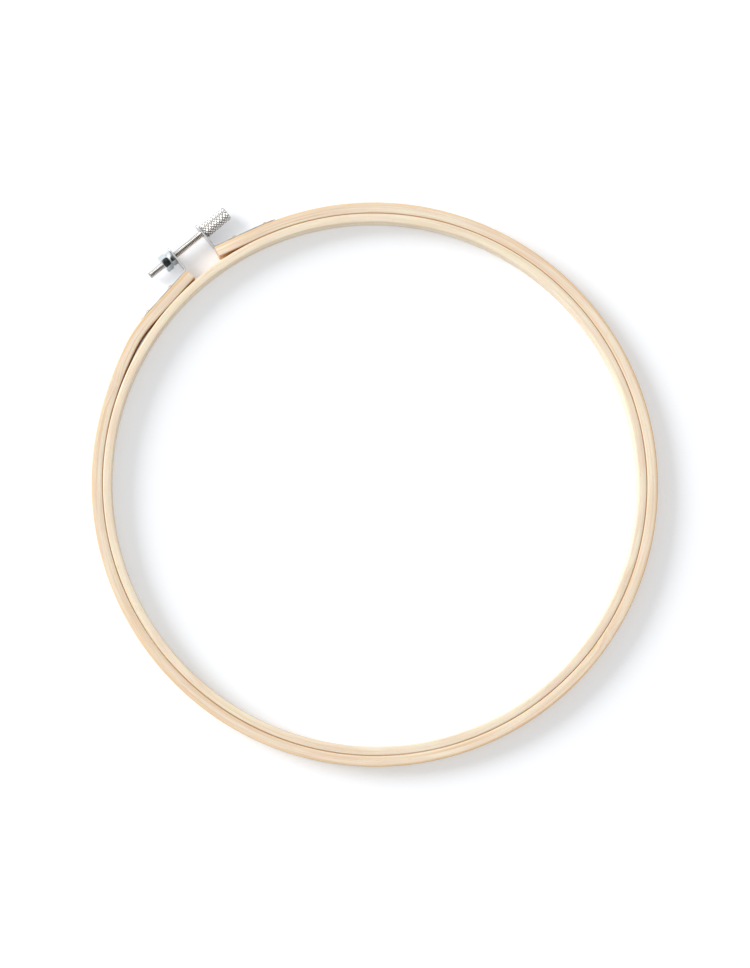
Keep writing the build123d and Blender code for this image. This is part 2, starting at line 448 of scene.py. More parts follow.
def straight_length(wood, side, end):
    """Length of a straight end of the outer ring, measured along its outside face up to an end."""
    flat = wood.head_flat if side == RIGHT else wood.nut_flat
    return abs(end - straight_foot(wood, side, wood.outer_thickness).x) / sin(flat)


def flange_route(wood, brackets, side):
    """A flange's line on the wood, from the ear outwards: its start, heading and stretches."""
    if side == RIGHT:
        flat, ear, inside = wood.head_flat, brackets.head_ear, bow_radii(wood)[0]
    else:
        flat, ear, inside = wood.nut_flat, brackets.nut_ear, bow_radii(wood)[2]
    heading = flat + side * QUARTER_TURN
    straight = straight_length(wood, side, ear)
    foot = straight_foot(wood, side, wood.outer_thickness)
    start = foot - around(straight, heading)
    radius = inside + wood.outer_thickness
    wrap = side * (brackets.flange - straight) / radius
    return start, heading, [Straight(straight), Bend(radius, wrap)]


def nail_frame(wood, brackets, side, place):
    """The frame of a nail on the wood: X along the flange, Z outwards, as a matrix."""
    start, heading, (straight, bend) = flange_route(wood, brackets, side)
    point = start + around(min(place, straight.length), heading)
    if place > straight.length:
        turned = side * (place - straight.length) / bend.radius
        centre = point + around(bend.radius, heading + side * QUARTER_TURN)
        heading += turned
        point = centre - around(bend.radius, heading + side * QUARTER_TURN)
    along = around(1, heading)
    outwards = around(1, heading - side * QUARTER_TURN)
    across = outwards.cross(along)
    turn = Matrix((along, across, outwards)).transposed().to_4x4()
    return Matrix.Translation(point + Vector((0, 0, MID_HEIGHT))) @ turn


def nail_places(brackets):
    """How far along its flange each nail stands."""
    return {"near": brackets.near_nail, "far": brackets.flange - brackets.far_nail}


def add_cylinder(radius, low, high, vertices):
    """A cylinder along Z between two heights."""
    object_mode()
    bpy.ops.mesh.primitive_cylinder_add(
        vertices=vertices,
        radius=radius,
        depth=high - low,
        end_fill_type="NGON",
        location=(0, 0, (low + high) / 2),
    )
    piece = bpy.context.object
    settle(piece)
    return piece


def lay_along_screw(piece):
    """Turns a piece modelled along Z so that it lies along the screw's axis, Z towards +X."""
    piece.rotation_euler = (0, QUARTER_TURN, 0)
    piece.location = (0, SCREW_AXIS.y, SCREW_AXIS.z)
    settle(piece)


def place_by(piece, matrix):
    """Moves a piece modelled at the origin to a frame."""
    piece.matrix_world = matrix
    settle(piece)


def draw_end(piece, direction, distance, scale):
    """Extrudes the face that looks along Z, up or down, by a distance and scales it."""
    select(piece, "faces", lambda face: face.normal.z * direction > SQUARELY)
    bpy.ops.mesh.extrude_region_move(TRANSFORM_OT_translate={"value": (0, 0, direction * distance)})
    bpy.ops.transform.resize(value=(scale, scale, 1), center_override=(0, 0, 0))


def sweep_ring(wood, start, heading, route, thickness):
    """A wooden band, sanded and crowned, that follows a route along its inside face."""
    sanding = {"rounding": wood.rounding, "crown": wood.crown}
    return sweep_strip(start, heading, RIGHT, route, thickness, RING_HEIGHT, wood.step, **sanding)


def make_inner_ring(wood):
    """The inner ring: one band of constant section."""
    inside = wood.inner_radius - wood.inner_thickness
    route = [Bend(inside, FULL_TURN)]
    ring = sweep_ring(wood, around(inside, 0), QUARTER_TURN, route, wood.inner_thickness)
    face_outwards(ring)
    smooth(ring)
    return ring


def make_outer_ring(wood):
    """The outer ring: straight at both ends, with a bow beside its nut end."""
    main, bow, turn = bow_radii(wood)
    nut_length = straight_length(wood, LEFT, wood.nut_end)
    head_length = straight_length(wood, RIGHT, wood.head_end)
    heading = wood.nut_flat + QUARTER_TURN
    start = straight_foot(wood, LEFT, 0) - around(nut_length, heading)
    route = [
        Straight(nut_length),
        Bend(turn, wood.bow_turn - wood.nut_flat),
        Bend(bow, wood.bow_start - wood.bow_turn),
        Bend(main, FULL_TURN + wood.head_flat - wood.bow_start),
        Straight(head_length),
    ]
    ring = sweep_ring(wood, start, heading, route, wood.outer_thickness)
    close_ends(ring)
    edit(ring)
    select(ring, "faces", lambda face: len(face.verts) > MOST_WALL_CORNERS)
    bpy.ops.mesh.region_to_loop()
    bpy.ops.mesh.bevel(offset=wood.sawn_edge, segments=EDGE_STEPS, affect="EDGES")
    object_mode()
    smooth(ring)
    return ring


def make_bracket(wood, brackets, side):
    """A strip bent into an ear and a flange, with rounded corners, broken edges and its holes."""
    start, heading, flange = flange_route(wood, brackets, side)
    ear = brackets.head_ear if side == RIGHT else brackets.nut_ear
    ear_top = SCREW_AXIS.y + brackets.ear_beyond_screw
    down = -QUARTER_TURN
    turn = (heading - down + pi) % FULL_TURN - pi
    radius = brackets.bend + brackets.thickness
    bend_reach = radius * tan(abs(turn) / 2)
    ear_length = ear_top - start.y - bend_reach
    straight, wrap = flange
    straight.length -= bend_reach
    wrapped = abs(wrap.turn) * wrap.radius
    if wrapped < brackets.corner:
        # The flange's tip is too short to curve beside its rounded corners
        straight.length += wrapped
        flange = [straight]
    strip = sweep_strip(
        Vector((ear, ear_top, 0)),
        down,
        LEFT if turn > 0 else RIGHT,
        [Straight(ear_length), Bend(radius, turn), *flange],
        brackets.thickness,
        brackets.width,
        step=BRACKET_STEP,
    )
    close_ends(strip)
    edit(strip)
    select(strip, "edges", lambda edge: is_corner(edge, brackets))
    bpy.ops.mesh.bevel(offset=brackets.corner, segments=CORNER_STEPS, affect="EDGES")
    object_mode()
    hole = add_cylinder(brackets.screw_hole, -radius, radius, HOLE_SIDES)
    lay_along_screw(hole)
    hole.location.x = ear
    settle(hole)
    cut(strip, hole)
    break_edges(strip, brackets.edge)
    for place in nail_places(brackets).values():
        hole = add_cylinder(brackets.nail_radius, -brackets.thickness, 2 * brackets.thickness, NAIL_SIDES)
        place_by(hole, nail_frame(wood, brackets, side, place))
        cut(strip, hole)
    smooth(strip)
    return strip


def is_corner(edge, brackets):
    """Whether an edge is one of the four short ones at the strip's corners."""
    level = abs(edge.verts[0].co.z - edge.verts[1].co.z) < SAME_PLACE
    short = abs(edge.calc_length() - brackets.thickness) < SAME_PLACE
    ends = (face for face in edge.link_faces if len(face.verts) == 4 and is_end(face, brackets))
    return level and short and any(ends)


def is_end(face, brackets):
    """Whether a face is an end of the strip: as wide as the strip and as long as it is thick."""
    lengths = sorted(edge.calc_length() for edge in face.edges)
    return abs(lengths[0] - brackets.thickness) < SAME_PLACE and abs(lengths[1] - lengths[0]) < SAME_PLACE


def make_nail(wood, brackets, side, place):
    """A nail: a domed head, a shank through the wood, and its point bent over inside."""
    nail = add_cylinder(brackets.nail_radius, -wood.outer_thickness, brackets.thickness, NAIL_SIDES)
    edit(nail)
    head_share = brackets.nail_head / brackets.nail_radius
    draw_end(nail, UP, 0, head_share)
    draw_end(nail, UP, brackets.nail_rim, 1)
    crown = brackets.nail_dome - brackets.nail_rim
    reached = 1.0
    risen = 0.0
    for share in NAIL_DOME_SHARES:
        rise = crown * sqrt(1 - share**2)
        draw_end(nail, UP, rise - risen, share / reached)
        reached, risen = share, rise
    object_mode()
    point = add_clench(brackets)
    point.location = (0, 0, -wood.outer_thickness)
    settle(point)
    cut(nail, point, "UNION")
    nail_edge = brackets.edge / 2
    break_edges(nail, nail_edge, FILED_NAIL)
    place_by(nail, nail_frame(wood, brackets, side, place))
    smooth(nail)
    return nail


def add_clench(brackets):
    """A nail's bent-over point: a tapered half-round lying along X."""
    object_mode()
    bpy.ops.mesh.primitive_cone_add(
        vertices=NAIL_POINT_SIDES,
        radius1=brackets.nail_radius,
        radius2=brackets.clench_tip,
        depth=brackets.clench_length,
        location=(brackets.clench_length / 2, 0, 0),
        rotation=(0, QUARTER_TURN, 0),
    )
    point = bpy.context.object
    settle(point)
    flatten = (brackets.clench_depth + brackets.clench_proud) / (2 * brackets.nail_radius)
    edit(point, everything=True)
    bpy.ops.transform.resize(value=(1, 1, flatten), center_override=(0, 0, 0))
    lift = (brackets.clench_depth - brackets.clench_proud) / 2
    bpy.ops.transform.translate(value=(0, 0, lift))
    object_mode()
    return point


def make_head(screw):
    """The knurled head: diamonds with worn points between two chamfered ends."""
    columns = 2 * screw.knurl_starts
    low = screw.head_start + screw.head_chamfer
    high = screw.head_start + screw.head_length - screw.head_chamfer
    rows = round(2 * (high - low) / screw.knurl_pitch)
    head = add_cylinder(screw.head_radius, low, high, columns)
    edit(head)
    rim_share = 1 - screw.head_chamfer / screw.head_radius
    for direction in (UP, DOWN):
        draw_end(head, direction, screw.head_chamfer, rim_share)
    select(head, "edges", lambda edge: abs(edge.calc_length() - (high - low)) < SAME_PLACE)
    bpy.ops.mesh.subdivide(number_cuts=rows - 1)
    select(head, "verts", lambda vertex: is_groove(vertex, low, high, rows, columns, screw))
    groove_share = 1 - screw.knurl_depth / screw.head_radius
    bpy.ops.transform.resize(value=(groove_share, groove_share, 1), center_override=(0, 0, 0))
    select(head, "faces", lambda face: len(face.verts) == 4 and low < face.calc_center_median().z < high)
    bpy.ops.mesh.quads_convert_to_tris(quad_method="SHORTEST_DIAGONAL")
    crest = screw.head_radius * ON_CREST_SHARE
    select(head, "verts", lambda vertex: vertex.co.xy.length > crest)
    bpy.ops.mesh.bevel(offset=screw.knurl_crest, segments=1, affect="VERTICES")
    object_mode()
    diamond_edge = screw.knurl_crest / 3
    break_edges(head, diamond_edge, FILED_DIAMOND)
    lay_along_screw(head)
    smooth(head, SHARP_DIAMOND)
    return head


def is_groove(vertex, low, high, rows, columns, screw):
    """Whether a point of the head's lattice is one where two grooves cross."""
    if vertex.co.xy.length < screw.head_radius * ON_LATTICE_SHARE:
        return False
    row = round(rows * (vertex.co.z - low) / (high - low))
    column = round(columns * (vertex.co.xy.angle_signed(Vector((1, 0)))) / FULL_TURN)
    return (row + column) % 2 == 0


def make_shank(screw):
    """The threaded shank, cut square at its head end and chamfered at its tip."""
    low, high = SCREW_BOX[0].x, screw.head_start + screw.head_chamfer
    crest, depth = screw.shank_radius, screw.thread_depth
    object_mode()
    bpy.ops.mesh.primitive_plane_add(size=THREAD_PITCH)
    shank = bpy.context.object
    edit(shank)
    select(shank, "verts", lambda vertex: vertex.index > 0)
    bpy.ops.mesh.delete(type="VERT")
    object_mode()
    corner = shank.data.vertices[0].co.copy()
    start = Vector((crest - depth, 0, low - SPARE_TURNS * THREAD_PITCH))
    edit(shank, everything=True)
    bpy.ops.transform.translate(value=start - corner)
    profile = (
        (0, THREAD_ROOT_SHARE),
        (depth, THREAD_FLANK_SHARE),
        (0, THREAD_CREST_SHARE),
        (-depth, THREAD_FLANK_SHARE),
    )
    for rise, share in profile:
        move = (rise, 0, share * THREAD_PITCH)
        bpy.ops.mesh.extrude_vertices_move(TRANSFORM_OT_translate={"value": move})
    object_mode()
    apply_modifier(
        shank,
        "SCREW",
        axis="Z",
        angle=FULL_TURN,
        screw_offset=THREAD_PITCH,
        iterations=ceil((high - low) / THREAD_PITCH) + 2 * SPARE_TURNS,
        steps=THREAD_STEPS,
        render_steps=THREAD_STEPS,
    )
    face_outwards(shank)
    for height, direction in ((low, DOWN), (high, UP)):
        edit(shank, everything=True)
        bpy.ops.mesh.bisect(
            plane_co=(0, 0, height + direction * THREAD_PITCH / 2),
            plane_no=(0, 0, direction),
            use_fill=True,
            clear_outer=True,
        )
    face_outwards(shank)
    wide = 2 * crest
    chamfer = screw.tip_chamfer + crest
    blank = add_cylinder(wide, low + chamfer, high, SHANK_SIDES)
    edit(blank)
    draw_end(blank, DOWN, chamfer, (crest - screw.tip_chamfer) / wide)
    object_mode()
    cut(shank, blank, "INTERSECT")
    lay_along_screw(shank)
    smooth(shank, SHARP_THREAD)
    return shank


def make_nut(screw, node, flats, turn):
    """A hexagon nut with chamfered corners and a countersunk bore."""
    low, high = (corner.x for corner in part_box(node))
    corner_radius = flats / 2 / cos(FULL_TURN / HEXAGON_SIDES / 2)
    face_radius = flats / 2 * NUT_FACE_SHARE
    outside = corner_radius * NUT_BLANK_SHARE
    rise = (outside - face_radius) * tan(screw.nut_chamfer)
    blank = add_cylinder(outside, low + rise, high - rise, NUT_SIDES)
    edit(blank)
    for direction in (UP, DOWN):
        draw_end(blank, direction, rise, face_radius / outside)
    object_mode()
    nut = add_cylinder(corner_radius, low, high, HEXAGON_SIDES)
    cut(nut, blank, "INTERSECT")
    sunk = screw.nut_countersink
    reach = 2 * sunk
    bore = add_cylinder(screw.nut_bore, low + sunk, high - sunk, HOLE_SIDES)
    edit(bore)
    for direction in (UP, DOWN):
        draw_end(bore, direction, reach, (screw.nut_bore + reach) / screw.nut_bore)
    object_mode()
    cut(nut, bore)
    break_edges(nut, screw.nut_edge)
    nut.rotation_euler = (0, 0, turn)
    settle(nut)
    lay_along_screw(nut)
    smooth(nut)
    return nut


# How the nodes are set out in a material's tree
NODE_ROWS = 5
NODE_SPACE = (200, 180)
# Places of the colour sockets on a Mix node, whose names its other kinds of value share
MIX_SHARE = 0
MIX_FIRST = 6
MIX_SECOND = 7
MIX_RESULT = 2


class NodeMaker:
    """Adds nodes to a shader tree and joins them up."""

    def __init__(self, tree):
        self.tree = tree
        tree.nodes.clear()

    def add(self, kind, inputs=None, **settings):
        """A node with its settings, and values or sockets on its inputs."""
        node = self.tree.nodes.new(kind)
        column, row = divmod(len(self.tree.nodes), NODE_ROWS)
        node.location = (column * NODE_SPACE[0], -row * NODE_SPACE[1])
        for name, value in settings.items():
            setattr(node, name, value)
        self.fill(node, inputs or {})
        return node

    def fill(self, node, inputs):
        """Puts values on a node's inputs, or links to them from other sockets."""
        for name, value in inputs.items():
            if isinstance(value, bpy.types.NodeSocket):
                self.tree.links.new(value, node.inputs[name])
            else:
                node.inputs[name].default_value = value

    def here(self):
        """The point's place on the object."""
        return self.add("ShaderNodeTexCoord").outputs["Object"]

    def split(self, vector):
        """The three coordinates of a vector."""
        return self.add("ShaderNodeSeparateXYZ", {0: vector}).outputs

    def math(self, operation, *values):
        """The result of a sum or a function of one to three values."""
        return self.add("ShaderNodeMath", dict(enumerate(values)), operation=operation).outputs[0]

    def ramp(self, value, low, high, start=0.0, end=1.0):
        """A value spread smoothly from start to end while it goes from low to high."""
        inputs = {"Value": value, "From Min": low, "From Max": high, "To Min": start, "To Max": end}
        return self.add("ShaderNodeMapRange", inputs, interpolation_type="SMOOTHSTEP").outputs["Result"]

    def mix(self, share, first, second, blend="MIX"):
        """Two colours, sockets or three numbers each, mixed by a share of the second."""
        inputs = {MIX_SHARE: share}
        for index, colour in ((MIX_FIRST, first), (MIX_SECOND, second)):
            linked = isinstance(colour, bpy.types.NodeSocket)
            inputs[index] = colour if linked else with_alpha(colour)
        node = self.add("ShaderNodeMix", inputs, data_type="RGBA", blend_type=blend)
        return node.outputs[MIX_RESULT]

    def lay(self, colour, over, mask, share):
        """A colour with another laid over it, by a share of a mask."""
        return self.mix(self.math("MULTIPLY", mask, share), colour, over)

    def noise(self, place, scale, detail=2.0, roughness=0.5, seed=None):
        """Noise from 0 to 1 at a place, in four dimensions where a seed is given."""
        inputs = {"Vector": place, "Scale": scale, "Detail": detail, "Roughness": roughness}
        if seed is not None:
            inputs["W"] = seed
        size = "3D" if seed is None else "4D"
        return self.add("ShaderNodeTexNoise", inputs, noise_dimensions=size).outputs["Fac"]


NUMBER = "NodeSocketFloat"
VECTOR = "NodeSocketVector"


def new_group(name, inputs, outputs):
    """A shader node group that gives numbers: its maker, its input sockets and its output node."""
    tree = bpy.data.node_groups.new(name, "ShaderNodeTree")
    maker = NodeMaker(tree)
    for socket, kind in inputs.items():
        tree.interface.new_socket(socket, in_out="INPUT", socket_type=kind)
    for socket in outputs:
        tree.interface.new_socket(socket, in_out="OUTPUT", socket_type=NUMBER)
    return maker, maker.add("NodeGroupInput").outputs, maker.add("NodeGroupOutput")


def use_group(maker, name, build, inputs):
    """A group placed in a material with its own values, and built the first time it is needed."""
    tree = bpy.data.node_groups.get(name) or build()
    return maker.add("ShaderNodeGroup", inputs, node_tree=tree).outputs


def grain_group():
    """Fibres, streaks, patches and pores that run round the hoop, as masks from 0 to 1."""
    maker, given, result = new_group(
        "Grain round the hoop",
        {"Across": NUMBER, "Seed": NUMBER},
        ("Fibres", "Streaks", "Patches", "Pores"),
    )
    x, y, z = maker.split(maker.here())

    def running(width, length, detail, roughness):
        """Noise drawn out round the hoop, so many metres wide and long."""
        drawn = {
            0: maker.math("DIVIDE", x, length),
            1: maker.math("DIVIDE", y, length),
            2: maker.math("DIVIDE", given["Across"], width),
        }
        along = maker.add("ShaderNodeCombineXYZ", drawn).outputs[0]
        seed = maker.math("MULTIPLY_ADD", z, 1 / width, given["Seed"])
        return maker.noise(along, 1.0, detail, roughness, seed)

    fibres = running(width=0.00016, length=0.014, detail=2.0, roughness=0.6)
    streaks = running(width=0.0007, length=0.045, detail=3.0, roughness=0.55)
    patches = running(width=0.004, length=0.022, detail=2.0, roughness=0.5)
    pores = running(width=0.00022, length=0.0035, detail=1.0, roughness=0.5)
    masks = {
        "Fibres": fibres,
        "Streaks": maker.ramp(streaks, low=0.42, high=0.72),
        "Patches": maker.ramp(patches, low=0.38, high=0.7),
        "Pores": maker.ramp(pores, low=0.66, high=0.78),
    }
    maker.fill(result, masks)
    return maker.tree


# A joint of the cane, in metres: its reach along the ring, how far the fibres shift aside and its
# line wanders, and the distances from its middle at which the line fades out and is full
JOINT_REACH = 0.009
JOINT_SHIFT = 0.0011
JOINT_WANDER = 0.004
JOINT_LINE = (0.001, 0.0001)
# How far the line runs along the ring for each metre across it, and its waves to the metre
JOINT_SLANT = 0.55
JOINT_WAVES = 700.0


def joint_group():
    """A joint of the cane, where the fibres bend and blush: a mask, a pale line and a sideways shift."""
    maker, given, result = new_group(
        "Joint of the cane",
        {"Across": NUMBER, "Angle": NUMBER, "Radius": NUMBER, "Length": NUMBER},
        ("Mask", "Line", "Shift"),
    )
    place = maker.here()
    x, y = maker.split(place)[:2]
    angle = maker.math("ARCTAN2", y, x)
    turned = maker.math("WRAP", maker.math("SUBTRACT", angle, given["Angle"]), pi, -pi)
    along = maker.math("MULTIPLY", turned, given["Radius"])
    slanted = maker.math("MULTIPLY_ADD", given["Across"], JOINT_SLANT, along)
    wave = maker.math("SUBTRACT", maker.noise(place, JOINT_WAVES), 0.5)
    wavy = maker.math("MULTIPLY_ADD", wave, JOINT_WANDER, slanted)
    reach = maker.math("DIVIDE", maker.math("ABSOLUTE", along), given["Length"])
    near = maker.ramp(reach, 1.0, 0.0)
    line = maker.ramp(maker.math("ABSOLUTE", wavy), *JOINT_LINE)
    shift = maker.math("MULTIPLY", near, JOINT_SHIFT)
    maker.fill(result, {"Mask": near, "Line": line, "Shift": shift})
    return maker.tree


def plating_group():
    """Cloudy film, fine scratches and dark specks on plated metal, as masks from 0 to 1."""
    maker, given, result = new_group(
        "Plating marks", {"Stretch": VECTOR}, ("Film", "Scratches", "Specks")
    )
    place = maker.here()
    drawn = maker.add("ShaderNodeVectorMath", {0: place, 1: given["Stretch"]}, operation="MULTIPLY")
    film = maker.noise(place, scale=420.0, detail=4.0, roughness=0.6)
    scratches = maker.noise(drawn.outputs[0], scale=1.0, detail=3.0, roughness=0.65)
    specks = maker.noise(place, scale=2600.0)
    masks = {
        "Film": maker.ramp(film, low=0.35, high=0.7),
        "Scratches": maker.ramp(scratches, low=0.35, high=0.65),
        "Specks": maker.ramp(specks, low=0.64, high=0.74),
    }
    maker.fill(result, masks)
    return maker.tree


def distance_group():
    """How far a point lies from the screw's axis, as a mask from 0 at one radius to 1 at another."""
    maker, given, result = new_group(
        "Height over the screw", {"Low": NUMBER, "High": NUMBER}, ("Mask",)
    )
    y, z = maker.split(maker.here())[1:]
    rise = maker.math("SUBTRACT", y, SCREW_AXIS.y)
    up = maker.math("SUBTRACT", z, SCREW_AXIS.z)
    squared = maker.math("ADD", maker.math("MULTIPLY", rise, rise), maker.math("MULTIPLY", up, up))
    distance = maker.math("SQRT", squared)
    maker.fill(result, {"Mask": maker.ramp(distance, given["Low"], given["High"])})
    return maker.tree


def new_material(name):
    """A material with a maker for its nodes."""
    material = bpy.data.materials.new(name)
    material.use_nodes = True
    return material, NodeMaker(material.node_tree)


def finish_material(maker, inputs, height, distance, strength=1.0):
    """A Principled surface with its inputs, and a bump from a height, so many metres deep."""
    bump = maker.add("ShaderNodeBump", {"Height": height, "Distance": distance, "Strength": strength})
    shader = maker.add("ShaderNodeBsdfPrincipled", {**inputs, "Normal": bump.outputs[0]})
    maker.add("ShaderNodeOutputMaterial", {"Surface": shader.outputs[0]})


# How strongly each tint is laid on the wood
BLUSH_SHARE = 0.55
PORE_SHARE = 0.5
SKIN_SHARE = 0.75
# The seam's darker wood is partly stained wood and partly painted shade between the rings
SEAM_STAIN_AND_SHADE_SHARE = 0.9
JOINT_BLUSH_SHARE = 0.5
JOINT_LINE_SHARE = 0.35
VESSEL_SHARE = 0.6
# How deep the pores are beside the fibres' height, and the relief of the grain and of the sawn
# ends in metres
PORE_DEPTH = 0.8
GRAIN_BUMP = 0.00005
GRAIN_BUMP_STRENGTH = 0.6
SAWN_BUMP = 0.00008
# What holds all over the wood: a dull, slightly translucent surface
WOOD_BODY = {
    "Specular IOR Level": 0.4,
    "Subsurface Weight": 0.25,
    "Subsurface Radius": (0.0012, 0.0006, 0.00025),
    "Subsurface Scale": 1.0,
}


def wood_material(name, pale, streak, colours, seed, joints, radius, seam, skin):
    """Wood of one ring. Its joints are angles in degrees. Seam and skin are the places across the ring
    where the darkening beside the seam, partly stained wood and partly painted shade between the rings, and
    the yellow of the skin, begin and would be full."""
    material, maker = new_material(name)
    across = maker.add("ShaderNodeAttribute", attribute_name="across").outputs["Fac"]
    shifted = across
    found = []
    for angle in joints:
        place = {"Across": across, "Angle": radians(angle), "Radius": radius, "Length": JOINT_REACH}
        joint = use_group(maker, "Joint of the cane", joint_group, place)
        found.append(joint)
        shifted = maker.math("ADD", shifted, joint["Shift"])
    grain = use_group(maker, "Grain round the hoop", grain_group, {"Across": shifted, "Seed": seed})
    colour = maker.mix(grain["Streaks"], pale, streak)
    colour = maker.lay(colour, colours.blush, grain["Patches"], BLUSH_SHARE)
    colour = maker.lay(colour, colours.pore, grain["Pores"], PORE_SHARE)
    colour = maker.mix(maker.ramp(across, *skin, 0.0, SKIN_SHARE), colour, colours.skin)
    for joint in found:
        colour = maker.lay(colour, colours.blush, joint["Mask"], JOINT_BLUSH_SHARE)
        colour = maker.lay(colour, pale, joint["Line"], JOINT_LINE_SHARE)
    # Darker wood beside the seam: partly stained wood, partly painted shade between the rings
    colour = maker.mix(maker.ramp(across, *seam, 0.0, SEAM_STAIN_AND_SHADE_SHARE), colour, colours.stain_and_seam_shade)
    fibre_shade = maker.ramp(grain["Fibres"], low=0.2, high=0.8, start=0.9, end=1.06)
    shade = maker.add("ShaderNodeCombineColor", {0: fibre_shade, 1: fibre_shade, 2: fibre_shade})
    colour = maker.mix(1.0, colour, shade.outputs[0], "MULTIPLY")
    roughness = maker.ramp(grain["Streaks"], 0.0, 1.0, start=0.5, end=0.68)
    height = maker.math("SUBTRACT", grain["Fibres"], maker.math("MULTIPLY", grain["Pores"], PORE_DEPTH))
    surface = {"Base Color": colour, "Roughness": roughness, **WOOD_BODY}
    finish_material(maker, surface, height, GRAIN_BUMP, GRAIN_BUMP_STRENGTH)
    return material


def sawn_material(colours):
    """End grain where the outer ring was sawn: dark vessel ends in a paler ground."""
    material, maker = new_material("sawn_wood")
    place = maker.here()
    cells = maker.add("ShaderNodeTexVoronoi", {"Vector": place, "Scale": 2300.0, "Randomness": 0.9})
    vessels = maker.ramp(cells.outputs["Distance"], low=0.34, high=0.2)
    cloud = maker.noise(place, scale=900.0, detail=3.0)
    colour = maker.mix(cloud, colours.sawn, colours.outer_streak)
    colour = maker.lay(colour, colours.stain_and_seam_shade, vessels, VESSEL_SHARE)
    roughness = maker.ramp(cloud, low=0.2, high=0.8, start=0.7, end=0.9)
    height = maker.math("SUBTRACT", cloud, vessels)
    finish_material(maker, {"Base Color": colour, "Roughness": roughness}, height, SAWN_BUMP)
    return material


# Each metal's finish: how its marks are drawn out along X, Y and Z, its least and most roughness,
# and how strongly film dulls it
STEEL_FINISH = {"stretch": (150, 150, 9000), "rough": (0.3, 0.48), "film_share": 0.2}
BRASS_FINISH = {"stretch": (2000, 2000, 2000), "rough": (0.3, 0.5), "film_share": 0.3}
NICKEL_FINISH = {"stretch": (9000, 250, 250), "rough": (0.08, 0.17), "film_share": 0.05}
ZINC_FINISH = {"stretch": (3000, 400, 400), "rough": (0.1, 0.2), "film_share": 0.06}
# How strongly specks and grime darken the metals, the grime also being painted shade in the grooves, and
# how much rougher grime makes them
SPECK_SHARE = 0.35
GRIME_AND_SHADE_SHARE = 0.75
GRIME_ROUGHNESS = 0.35
# Depths below the crests of the knurl and of the thread at which grime and painted shade in the grooves are
# full and at which they end
KNURL_GRIME_AND_SHADE = (0.00045, 0.0001)
THREAD_GRIME_AND_SHADE = (0.0003, 0.0001)
SCRATCH_BUMP = 0.00001
SCRATCH_BUMP_STRENGTH = 0.5


def metal_material(name, colour, colours, stretch, rough, film_share, worn=None):
    """Plated metal: its marks are drawn out by a stretch, and roughness runs from rough[0] to rough[1].
    Where worn is given, metal nearer to the screw's axis than its radii is darker and rougher: grime, with
    painted shade in the grooves."""
    material, maker = new_material(name)
    marks = use_group(maker, "Plating marks", plating_group, {"Stretch": stretch})
    surface = maker.lay(colour, colours.tarnish_and_shade, marks["Film"], film_share)
    surface = maker.lay(surface, colours.tarnish_and_shade, marks["Specks"], SPECK_SHARE)
    roughness = maker.ramp(marks["Scratches"], 0.0, 1.0, *rough)
    if worn:
        radii = {"Low": worn[0], "High": worn[1]}
        height = use_group(maker, "Height over the screw", distance_group, radii)
        # Grime and painted shade in the grooves: darker and rougher deeper below the crests
        grime_and_shade = maker.ramp(height["Mask"], 1.0, 0.0, 0.0, GRIME_AND_SHADE_SHARE)
        surface = maker.mix(grime_and_shade, surface, colours.tarnish_and_shade)
        roughness = maker.math("MULTIPLY_ADD", grime_and_shade, GRIME_ROUGHNESS, roughness)
    metal = {"Base Color": surface, "Roughness": roughness, "Metallic": 1.0}
    finish_material(maker, metal, marks["Scratches"], SCRATCH_BUMP, SCRATCH_BUMP_STRENGTH)
    return material


# Where the cane's joints lie round each ring, in degrees
INNER_JOINTS = (298.4,)
OUTER_JOINTS = (287.4, 119.9)
# Depths below a face of the wood at which a tint begins and would be full. Where the second is
# negative, it lies outside the wood
# Where the darker wood beside the seam lies: partly stained wood, partly painted shade between the rings
INNER_SEAM_STAIN_AND_SHADE = (0.0004, -0.0004)
INNER_SKIN = (0.0001, -0.001)
# Where the outer ring's darker wood beside the seam lies: partly stained wood, partly painted shade
OUTER_SEAM_STAIN_AND_SHADE = (0.0004, -0.0001)
OUTER_SKIN = (0.0014, -0.0002)


def from_outside(thickness, depths):
    """Depths below a ring's outside face as places across the ring, from its inside face."""
    return [thickness - depth for depth in depths]


class HOOP_OT_inner_ring(bpy.types.Operator):
    """Makes the inner ring"""

    bl_idname = "hoop.inner_ring"
    bl_label = "Inner ring"

    def execute(self, context):
        wood, colours = context.scene.hoop_wood, context.scene.hoop_colours
        ring = make_inner_ring(wood)
        material = wood_material(
            "inner_ring_wood",
            colours.inner_pale,
            colours.inner_streak,
            colours,
            seed=3.0,
            joints=INNER_JOINTS,
            radius=wood.inner_radius,
            seam=from_outside(wood.inner_thickness, INNER_SEAM_STAIN_AND_SHADE),
            skin=INNER_SKIN,
        )
        hand_over(ring, "inner_ring_band", "inner_hoop", "inner_bamboo", [material], "inner_ring")
        return {"FINISHED"}


class HOOP_OT_outer_ring(bpy.types.Operator):
    """Makes the split outer ring with its sawn ends"""

    bl_idname = "hoop.outer_ring"
    bl_label = "Outer ring"

    def execute(self, context):
        wood, colours = context.scene.hoop_wood, context.scene.hoop_colours
        ring = make_outer_ring(wood)
        material = wood_material(
            "outer_ring_wood",
            colours.outer_pale,
            colours.outer_streak,
            colours,
            seed=11.0,
            joints=OUTER_JOINTS,
            radius=wood.inner_radius,
            seam=OUTER_SEAM_STAIN_AND_SHADE,
            skin=from_outside(wood.outer_thickness, OUTER_SKIN),
        )
        hand_over(ring, "outer_ring_band", "outer_hoop", "outer_bamboo", [material], "outer_ring")
        ring.data.materials.append(sawn_material(colours))
        for face in ring.data.polygons:
            if len(face.vertices) > MOST_WALL_CORNERS:
                face.material_index = 1
        return {"FINISHED"}


